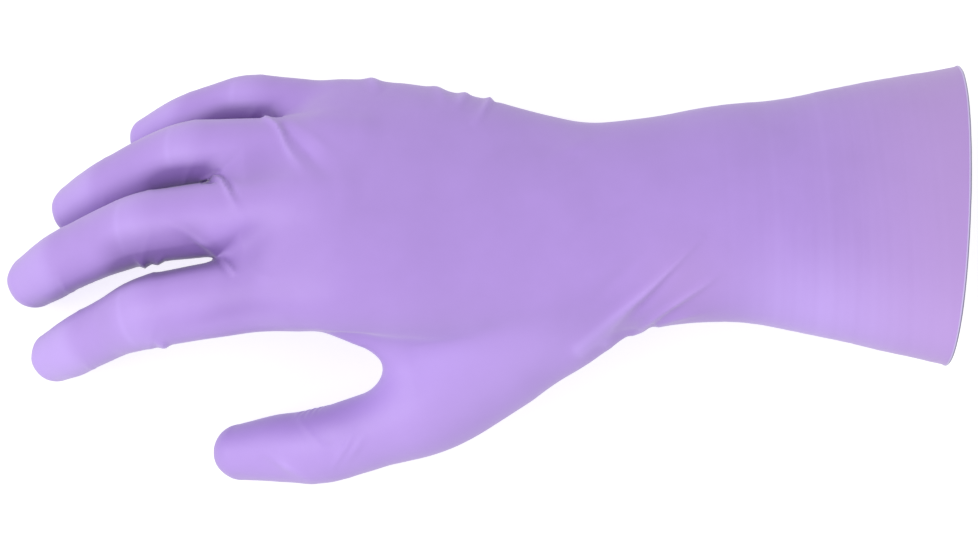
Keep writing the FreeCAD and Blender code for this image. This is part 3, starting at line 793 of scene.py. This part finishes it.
def plane_of(a, b):
    """The plane between two neighbouring pieces."""
    a, b = min(a, b), max(a, b)
    if b == 12:
        return np.array([36.5, 0, 0]), np.array([1.0, 0, 0])
    if (a, b) == (0, 1):
        return KN_C - KN_DIR * 13.2, KN_DIR
    if a == 1 and 2 <= b <= 5:
        n = NAMES[b - 2]
        p1, b1, p2, b2 = BISECT[n]
        return p1 - b1 * (NEAR[n][0] + 1.3), b1
    if 2 <= a <= 5 and b == a + 4:
        p1, b1, p2, b2 = BISECT[NAMES[a - 2]]
        return p2 - b2 * (TIPZ + 1.3), b2
    if (a, b) == (0, 10):
        return TH - TH_DIR * 6.2, TH_DIR
    if (a, b) == (10, 11):
        return TJ - TJ_DIR * 8.3, TJ_DIR
    return None


def snap(V, F, c):
    """Brings the vertices between two pieces onto the plane that parts them."""
    lo = np.full(len(V), 99)
    hi = np.full(len(V), -1)
    for k in range(4):
        np.minimum.at(lo, F[:, k], c)
        np.maximum.at(hi, F[:, k], c)
    edge = (hi >= 0) & (lo != hi) & (lo < 99)
    for a in range(13):
        for b in range(a + 1, 13):
            m = edge & (lo == a) & (hi == b)
            pl = plane_of(a, b)
            if not m.any() or pl is None:
                continue
            p, n = pl
            for _ in range(3):
                P = V[m]
                d = (P - p) @ n
                g = gradient(field, P)
                t = n - g * (g @ n)[:, None]
                tt = np.maximum(np.sum(t * n, 1), 0.2)
                P = P - t * np.clip(d / tt, -1.2, 1.2)[:, None]
                V[m] = to_surface(field, P, 1)
    return V


V, F = build_skin()
V = to_surface(field, V, 2)
# cut the open end of the cuff
dist = (V - RIM_P) @ RIM_N
inside = (dist < 0)[F].sum(1) >= 2
F = F[inside]
V, F = compact(V, F)
e = np.concatenate([F[:, [0, 1]], F[:, [1, 2]], F[:, [2, 3]], F[:, [3, 0]]])
key = np.sort(e, 1)
key = key[:, 0].astype(np.int64) * len(V) + key[:, 1]
uk, inv, cnt = np.unique(key, return_inverse=True, return_counts=True)
rim_edges = e[cnt[inv] == 1]
on_rim = np.unique(rim_edges.ravel())
for _ in range(4):
    P = V[on_rim]
    d = (P - RIM_P) @ RIM_N
    g = gradient(field, P)
    t = RIM_N - g * (g @ RIM_N)[:, None]
    P = P - t * (d / np.maximum(np.sum(t * RIM_N, 1), 0.3))[:, None]
    V[on_rim] = to_surface(field, P, 1)
cls = side_of(V[F].mean(1))
V = snap(V, F, cls)
N = gradient(field, V, 0.25)
who, dd, S_, U_, V_ = nearest_finger(V)
beyond = np.zeros(len(V), bool)
for i, n in enumerate(NAMES):
    tb = TUBES[n]
    k0 = {"index": 2.0, "middle": 2.0, "ring": 2.0, "little": 2.0, "thumb": 2.4}[n]
    s0 = tb.S[np.argmin(np.abs(tb.par - k0))]
    beyond |= (who == i) & (S_ > s0)
which = np.where(beyond & (dd < 1.35), who, -1)
up = N @ EYE


def relief_at(P):
    s, u, v = np.zeros(len(P)), np.zeros(len(P)), np.zeros(len(P))
    for i, n in enumerate(NAMES):
        m = which == i
        if m.any():
            a = TUBES[n].local(P[m])
            s[m], u[m], v[m] = a[0], a[1], a[2]
    return relief(P, up, which, (s, u, v))


t1 = np.cross(N, np.array([0.3, 0.8, 0.52]))
t1 /= np.linalg.norm(t1, axis=1, keepdims=True)
t2 = np.cross(N, t1)
E = 0.22
R = relief_at(V)
g1 = (relief_at(V + t1 * E) - relief_at(V - t1 * E)) / (2 * E)
g2 = (relief_at(V + t2 * E) - relief_at(V - t2 * E)) / (2 * E)
N2 = N - t1 * g1[:, None] - t2 * g2[:, None]
N2 /= np.linalg.norm(N2, axis=1, keepdims=True)
SKIN = V + N * R[:, None]

# Painted light and tint per point: lighter colour painted on the knuckles (partly paler stretched film), the thumb side
# of the hand, the ridges of folds, the lower side of the cuff and the fingertips, with thin rings of dip; and a warmer,
# paler tint of the thin end that also paints in light shining through the film.
light = np.zeros(len(V))
# painted highlight over the finger joints on faces turned towards EYE, partly the paler stretched film there
for i, n in enumerate(NAMES[:4]):
    p1, b1, p2, b2 = BISECT[n]
    m = who == i
    back = smoothstep(N @ EYE, 0.1, 0.7)
    w_ = (V - p1) @ b1
    light += m * back * (0.16 * bell(w_, 3.2, 1.1) + 0.32 * bell(w_, 0.0, 7.0) + 0.25 * bell((V - p2) @ b2, 1.0, 4.5))
# painted light on the thumb side of the hand and the base of the thumb
light += 0.35 * smoothstep(-(V[:, 1] + 0.0), 6, 26) * smoothstep(-V[:, 0], -60, -10) * (V[:, 0] < 40)
# warmer, paler towards the thin open end: partly the thinner film's tint, partly painted light shining through it
warm = smoothstep(V[:, 0], 84, 138) * 0.62
q_ = plan(V)
# a warm patch on the back near the wrist, on faces turned towards EYE
warm += 0.26 * np.exp(-((q_[:, 0] - 56.5) / 13) ** 2 - ((q_[:, 1] + 2.0) / 13) ** 2) * smoothstep(N @ EYE, 0, 0.5)

# Painted shade: the colour is darkened where neighbouring film lies near, between the fingers towards their webs, as a
# baked occlusion.
painted_shade = np.clip(1.0 - field(V + N * 7.0) / 7.0, 0, 1) * 0.85 + np.clip(1.0 - field(V + N * 13.0) / 13.0, 0, 1) * 0.5
painted_shade *= (who < 4) * smoothstep(-V[:, 0], 52, 66)
for n in NAMES[:4]:
    painted_shade *= 1.0 - 0.62 * (who == NAMES.index(n)) * smoothstep((V - BISECT[n][0]) @ BISECT[n][1], 2, 20)
# painted shade in the grooves of the folds, and a painted highlight on their ridges
painted_shade += smoothstep(-R, 0.35, 1.10) * 0.22
light += smoothstep(R, 0.25, 0.95) * 0.42
# painted shade on the side of the thumb that is turned to the palm, on faces turned towards EYE
m_ = (who == 4) * smoothstep(-V[:, 0], 30, 48) * smoothstep(V[:, 1] + 47.0 - 0.0 * V[:, 0], -2, 9)
painted_shade += 0.30 * m_ * smoothstep(N @ EYE, -0.2, 0.4)
# painted shade on the sides of the middle, ring and little fingers turned to their lower neighbour, near the webs
q1 = (V - BISECT["middle"][0]) @ BISECT["middle"][1]
painted_shade += 0.55 * (who == 1) * smoothstep(N @ SIDE, 0.25, 0.85) * smoothstep(q1, -26, -18) * (1 - smoothstep(q1, 4, 16))
q1 = (V - BISECT["ring"][0]) @ BISECT["ring"][1]
painted_shade += 0.30 * (who == 2) * smoothstep(N @ SIDE, 0.25, 0.85) * smoothstep(q1, -22, -14) * (1 - smoothstep(q1, 4, 16))
q1 = (V - BISECT["little"][0]) @ BISECT["little"][1]
painted_shade += 0.10 * (who == 3) * smoothstep(N @ SIDE, 0.25, 0.85) * smoothstep(q1, -22, -14) * (1 - smoothstep(q1, 4, 16))
# painted light on the lower side of the cuff
low = smoothstep(N @ SIDE, 0.15, 0.9)
light += 0.75 * low * smoothstep(V[:, 0], 56, 96)
# painted light on the fingertips beyond the last joint
for n in NAMES[:4]:
    light += 0.42 * (who == NAMES.index(n)) * smoothstep((V - BISECT[n][2]) @ BISECT[n][3], -4, 8)
# thin rings of dip round the cuff, as faint lighter and darker bands
light += smoothstep(V[:, 0], 66, 90) * 0.028 * (np.sin(V[:, 0] * 0.93 + 1.3) + np.sin(V[:, 0] * 0.41) + np.sin(V[:, 0] * 2.1 + 0.4 * V[:, 1] / 9.0))


# --- materials ----------------------------------------------------------------------------
def film_material(name, base, lit, warmed, rough):
    m = bpy.data.materials.new(name)
    m.use_nodes = True
    nt = m.node_tree
    nt.nodes.clear()
    out = nt.nodes.new("ShaderNodeOutputMaterial")
    sh = nt.nodes.new("ShaderNodeBsdfPrincipled")
    nt.links.new(sh.outputs["BSDF"], out.inputs["Surface"])
    tc = nt.nodes.new("ShaderNodeTexCoord")
    # colour: base with a faint mottle of the dip, mixed towards the lit colour by painted light (with paler stretched
    # film), towards the warm tint by the thin end's tint and painted glow, and towards a dark colour by painted shade
    al = nt.nodes.new("ShaderNodeAttribute")
    al.attribute_name = "film_light"
    aw = nt.nodes.new("ShaderNodeAttribute")
    aw.attribute_name = "film_warm"
    n1 = nt.nodes.new("ShaderNodeTexNoise")
    n1.inputs["Scale"].default_value = 55.0
    n1.inputs["Detail"].default_value = 3.0
    n1.inputs["Roughness"].default_value = 0.55
    nt.links.new(tc.outputs["Object"], n1.inputs["Vector"])
    ramp = nt.nodes.new("ShaderNodeValToRGB")
    ramp.color_ramp.elements[0].position = 0.30
    ramp.color_ramp.elements[1].position = 0.72
    ramp.color_ramp.elements[0].color = tuple(c * 0.965 for c in base) + (1.0,)
    ramp.color_ramp.elements[1].color = tuple(min(c * 1.03, 1.0) for c in base) + (1.0,)
    nt.links.new(n1.outputs["Fac"], ramp.inputs["Fac"])
    mx = nt.nodes.new("ShaderNodeMix")
    mx.data_type = "RGBA"
    nt.links.new(al.outputs["Fac"], mx.inputs["Factor"])
    nt.links.new(ramp.outputs["Color"], mx.inputs["A"])
    mx.inputs["B"].default_value = tuple(lit) + (1.0,)
    my = nt.nodes.new("ShaderNodeMix")
    my.data_type = "RGBA"
    nt.links.new(aw.outputs["Fac"], my.inputs["Factor"])
    nt.links.new(mx.outputs["Result"], my.inputs["A"])
    my.inputs["B"].default_value = tuple(warmed) + (1.0,)
    # painted shade: the colour is mixed towards a darker copy of the base by the painted shade attribute
    ad = nt.nodes.new("ShaderNodeAttribute")
    ad.attribute_name = "film_painted_shade"
    mz = nt.nodes.new("ShaderNodeMix")
    mz.data_type = "RGBA"
    nt.links.new(ad.outputs["Fac"], mz.inputs["Factor"])
    nt.links.new(my.outputs["Result"], mz.inputs["A"])
    mz.inputs["B"].default_value = (base[0] * 0.50, base[1] * 0.44, base[2] * 0.56, 1.0)
    nt.links.new(mz.outputs["Result"], sh.inputs["Base Color"])
    # roughness varies a little with the micro texture
    n2 = nt.nodes.new("ShaderNodeTexNoise")
    n2.inputs["Scale"].default_value = 900.0
    n2.inputs["Detail"].default_value = 2.0
    nt.links.new(tc.outputs["Object"], n2.inputs["Vector"])
    rr = nt.nodes.new("ShaderNodeMapRange")
    rr.inputs["From Min"].default_value = 0.3
    rr.inputs["From Max"].default_value = 0.7
    rr.inputs["To Min"].default_value = rough - 0.04
    rr.inputs["To Max"].default_value = rough + 0.05
    nt.links.new(n2.outputs["Fac"], rr.inputs["Value"])
    nt.links.new(rr.outputs["Result"], sh.inputs["Roughness"])
    # a fine pebble of the film's skin, and short wavelets of slack
    n3 = nt.nodes.new("ShaderNodeTexNoise")
    n3.inputs["Scale"].default_value = 2600.0
    n3.inputs["Detail"].default_value = 1.0
    nt.links.new(tc.outputs["Object"], n3.inputs["Vector"])
    bp = nt.nodes.new("ShaderNodeBump")
    bp.inputs["Strength"].default_value = 0.10
    bp.inputs["Distance"].default_value = 0.00006
    nt.links.new(n3.outputs["Fac"], bp.inputs["Height"])
    n4 = nt.nodes.new("ShaderNodeTexNoise")
    n4.inputs["Scale"].default_value = 170.0
    n4.inputs["Detail"].default_value = 2.0
    nt.links.new(tc.outputs["Object"], n4.inputs["Vector"])
    bq = nt.nodes.new("ShaderNodeBump")
    bq.inputs["Strength"].default_value = 0.12
    bq.inputs["Distance"].default_value = 0.0004
    nt.links.new(n4.outputs["Fac"], bq.inputs["Height"])
    nt.links.new(bp.outputs["Normal"], bq.inputs["Normal"])
    nt.links.new(bq.outputs["Normal"], sh.inputs["Normal"])
    sh.inputs["Sheen Weight"].default_value = 0.30
    sh.inputs["Sheen Roughness"].default_value = 0.5
    sh.inputs["Specular IOR Level"].default_value = 0.35
    sh.inputs["IOR"].default_value = 1.5
    return m


BASE = (0.418, 0.264, 0.692)
LIT = (0.560, 0.392, 0.890)
WARM = (0.490, 0.310, 0.665)
FILM_MAT = film_material("nitrile_film", BASE, LIT, WARM, 0.46)
# the bead's dark base colour and lit colour are painted shade and painted light on the two sides of the roll
BEAD_MAT = film_material("nitrile_bead", (0.170, 0.150, 0.270), (0.66, 0.56, 0.88), (0.20, 0.17, 0.30), 0.42)


# --- pieces --------------------------------------------------------------------------------
def make_piece(name, faces, thick=FILM):
    """One closed shell of film from some faces of the skin."""
    vid = np.unique(faces.ravel())
    idx = np.full(len(SKIN), -1)
    idx[vid] = np.arange(len(vid))
    f = idx[faces]
    n = len(vid)
    outer, inner = SKIN[vid], SKIN[vid] - N2[vid] * thick
    e = np.concatenate([f[:, [0, 1]], f[:, [1, 2]], f[:, [2, 3]], f[:, [3, 0]]])
    key = np.sort(e, 1)
    key = key[:, 0].astype(np.int64) * n + key[:, 1]
    uk, inv, cnt = np.unique(key, return_inverse=True, return_counts=True)
    b = e[cnt[inv] == 1]
    rim = np.stack([b[:, 1], b[:, 0], b[:, 0] + n, b[:, 1] + n], 1)
    co = (np.concatenate([outer, inner]) + ORIGIN) / 1000.0
    quads = np.concatenate([f, f[:, ::-1] + n, rim])
    me = bpy.data.meshes.new(name)
    me.vertices.add(len(co))
    me.vertices.foreach_set("co", co.astype(np.float32).ravel())
    me.loops.add(quads.size)
    me.loops.foreach_set("vertex_index", quads.astype(np.int32).ravel())
    me.polygons.add(len(quads))
    me.polygons.foreach_set("loop_start", np.arange(0, quads.size, 4, dtype=np.int32))
    me.polygons.foreach_set("use_smooth", np.ones(len(quads), bool))
    me.update(calc_edges=True)
    me.validate()
    for att, val in (("film_light", light), ("film_warm", warm), ("film_painted_shade", painted_shade)):
        a = me.attributes.new(att, "FLOAT", "POINT")
        a.data.foreach_set("value", np.concatenate([val[vid], val[vid] * 0.6]).clip(0, 1).astype(np.float32))
    nn = np.concatenate([N2[vid], -N2[vid]])
    me.normals_split_custom_set_from_vertices([tuple(q) for q in nn])
    ob = bpy.data.objects.new(name, me)
    bpy.context.scene.collection.objects.link(ob)
    me.materials.append(FILM_MAT)
    return ob


made = {}
for i, name in enumerate(PIECES):
    f = F[cls == i]
    made[name] = make_piece(name, f)

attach(made["hand_film"], "hand")
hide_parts("hand_back", "palm")
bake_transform(made["knuckle_film"])
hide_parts("knuckle_band", "finger_bases")
for n in NAMES[:4]:
    p1, b1, p2, b2 = BISECT[n]
    o = made[n + "_film"]
    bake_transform(o)
    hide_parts(n + "_middle_band", n + "_middle")
    o = made[n + "_tip_film"]
    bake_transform(o)
    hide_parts(n + "_tip_band", n + "_tip")
o = made["thumb_film"]
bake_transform(o)
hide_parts("thumb_knuckle_band", "thumb_lower")
o = made["thumb_tip_film"]
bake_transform(o)
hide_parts("thumb_tip_band", "thumb_tip")
o = made["cuff_film"]
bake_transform(o)
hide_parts("wrist_band", "cuff")


# The rolled bead: a roll of film laid round the end of the cuff.
def rim_loop(n=420):
    """Points of the cuff's end in order, with the outward direction at each."""
    e1 = unit(SIDE - RIM_N * (SIDE @ RIM_N))
    e2 = np.cross(RIM_N, e1)
    c = RIM_P.copy()
    P = V[on_rim]
    c = c + (P.mean(0) - c) - RIM_N * ((P.mean(0) - c) @ RIM_N)
    d = SKIN[on_rim] - c
    ang = np.arctan2(d @ e2, d @ e1)
    rad = np.hypot(d @ e1, d @ e2)
    o = np.argsort(ang)
    a, r = ang[o], rad[o]
    a = np.concatenate([a - 2 * math.pi, a, a + 2 * math.pi])
    r = np.concatenate([r, r, r])
    t = np.linspace(0, 2 * math.pi, n, endpoint=False) - math.pi
    rr = np.interp(t, a, r)
    k = np.hanning(9)
    k /= k.sum()
    rr = np.convolve(np.concatenate([rr[-4:], rr, rr[:4]]), k, mode="valid")
    pts = c + rr[:, None] * (np.cos(t)[:, None] * e1 + np.sin(t)[:, None] * e2)
    tan = np.roll(pts, -1, 0) - np.roll(pts, 1, 0)
    tan /= np.linalg.norm(tan, axis=1, keepdims=True)
    out = np.cross(tan, RIM_N)
    out *= np.sign(np.sum(out * (pts - c), 1))[:, None]
    out /= np.linalg.norm(out, axis=1, keepdims=True)
    return pts, out, t


def make_bead():
    pts, out, t = rim_loop()
    n, m = len(pts), 18
    rng = np.random.default_rng(4)
    ph = np.linspace(0, 2 * math.pi, m, endpoint=False)
    wob = sum(0.035 * np.sin(k * t + rng.uniform(0, 6.28)) for k in (3, 5, 8, 13, 21))
    r = 0.36 * (1 + 0.5 * wob)
    rows = []
    for q in ph:
        # a roll that is a little flatter across, with a shallow groove where its turns meet
        g = 1.0 - 0.16 * math.exp(-((q - 0.9) / 0.28) ** 2) - 0.12 * math.exp(-((q - 5.2) / 0.25) ** 2)
        rad = r * g
        rows.append(pts + RIM_N * (-0.10) + out * (-0.16 + rad * math.cos(q))[:, None] + RIM_N * (rad * 1.18 * math.sin(q))[:, None])
    P = np.stack(rows, 1).reshape(-1, 3)
    i, j = np.meshgrid(np.arange(n), np.arange(m), indexing="ij")
    i2, j2 = (i + 1) % n, (j + 1) % m
    q = np.stack([i * m + j, i2 * m + j, i2 * m + j2, i * m + j2], -1).reshape(-1, 4)
    # outward facing
    c = P.reshape(n, m, 3).mean(1)
    a, b, d = P[q[:, 0]], P[q[:, 1]], P[q[:, 3]]
    nn = np.cross(b - a, d - a)
    if np.sum(nn * (a - c[q[:, 0] // m])) < 0:
        q = q[:, ::-1]
    me = bpy.data.meshes.new("cuff_rolled_bead")
    me.from_pydata([tuple(x) for x in (P + ORIGIN) / 1000.0], [], [tuple(int(k) for k in x) for x in q])
    me.polygons.foreach_set("use_smooth", np.ones(len(me.polygons), bool))
    me.update()
    for att in ("film_light", "film_warm", "film_painted_shade"):
        a = me.attributes.new(att, "FLOAT", "POINT")
        # painted light on one side of the roll; the rest keeps the dark base as painted shade
        v = np.tile(smoothstep(-np.sin(ph), -0.45, 0.25), n) if att == "film_light" else np.full(len(P), 0.2 if att == "film_warm" else 0.0)
        a.data.foreach_set("value", v.clip(0, 1).astype(np.float32))
    ob = bpy.data.objects.new("cuff_rolled_bead", me)
    bpy.context.scene.collection.objects.link(ob)
    me.materials.append(BEAD_MAT)
    return ob


bead = make_bead()
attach(bead, "cuff")
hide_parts("cuff_bead")

# --- floor and light -----------------------------------------------------------------------
me = bpy.data.meshes.new("floor")
R_ = 3.0
me.from_pydata([(-R_, -R_, 0), (R_, -R_, 0), (R_, R_, 0), (-R_, R_, 0)], [], [(0, 1, 2, 3)])
floor = bpy.data.objects.new("floor", me)
bpy.context.scene.collection.objects.link(floor)
fm = bpy.data.materials.new("floor")
fm.use_nodes = True
fs = fm.node_tree.nodes["Principled BSDF"]
fs.inputs["Base Color"].default_value = (0.50, 0.50, 0.50, 1.0)
fs.inputs["Roughness"].default_value = 0.9
fs.inputs["Specular IOR Level"].default_value = 0.0
fs.inputs["Emission Color"].default_value = (1.0, 1.0, 1.0, 1.0)
fs.inputs["Emission Strength"].default_value = 0.68
me.materials.append(fm)
# the floor is pale to look at but sends little light back up, as under a raised table of glass
floor.visible_diffuse = False
floor.visible_glossy = False

WORLD, WORLD_LOW = 0.76, 0.97
world = bpy.data.worlds.new("studio")
bpy.context.scene.world = world
world.use_nodes = True
bg = world.node_tree.nodes["Background"]
wt = world.node_tree
geo_ = wt.nodes.new("ShaderNodeTexCoord")
sep = wt.nodes.new("ShaderNodeSeparateXYZ")
wt.links.new(geo_.outputs["Generated"], sep.inputs["Vector"])
ramp_ = wt.nodes.new("ShaderNodeValToRGB")
ramp_.color_ramp.elements[0].position = 0.30
ramp_.color_ramp.elements[0].color = (WORLD_LOW, WORLD_LOW, WORLD_LOW * 1.05, 1.0)
ramp_.color_ramp.elements[1].position = 0.62
ramp_.color_ramp.elements[1].color = (1.0, 1.0, 1.0, 1.0)
half = wt.nodes.new("ShaderNodeMapRange")
half.inputs["From Min"].default_value = -1.0
half.inputs["From Max"].default_value = 1.0
wt.links.new(sep.outputs["Z"], half.inputs["Value"])
wt.links.new(half.outputs["Result"], ramp_.inputs["Fac"])
wt.links.new(ramp_.outputs["Color"], bg.inputs["Color"])
bg.inputs["Strength"].default_value = WORLD


def area(name, loc, aim, size, power):
    d = bpy.data.lights.new(name, "AREA")
    d.shape = "SQUARE"
    d.size = size
    d.energy = power
    o = bpy.data.objects.new(name, d)
    o.location = loc
    v = Vector(aim) - Vector(loc)
    o.rotation_mode = "QUATERNION"
    o.rotation_quaternion = v.to_track_quat("-Z", "Y")
    bpy.context.scene.collection.objects.link(o)
    return o


area("key", (-0.85, -0.15, 0.92), (-0.02, 0.0, 0.03), 0.9, 6.9)
area("fill", (0.75, -0.60, 0.85), (0.02, 0.0, 0.03), 1.1, 2.4)
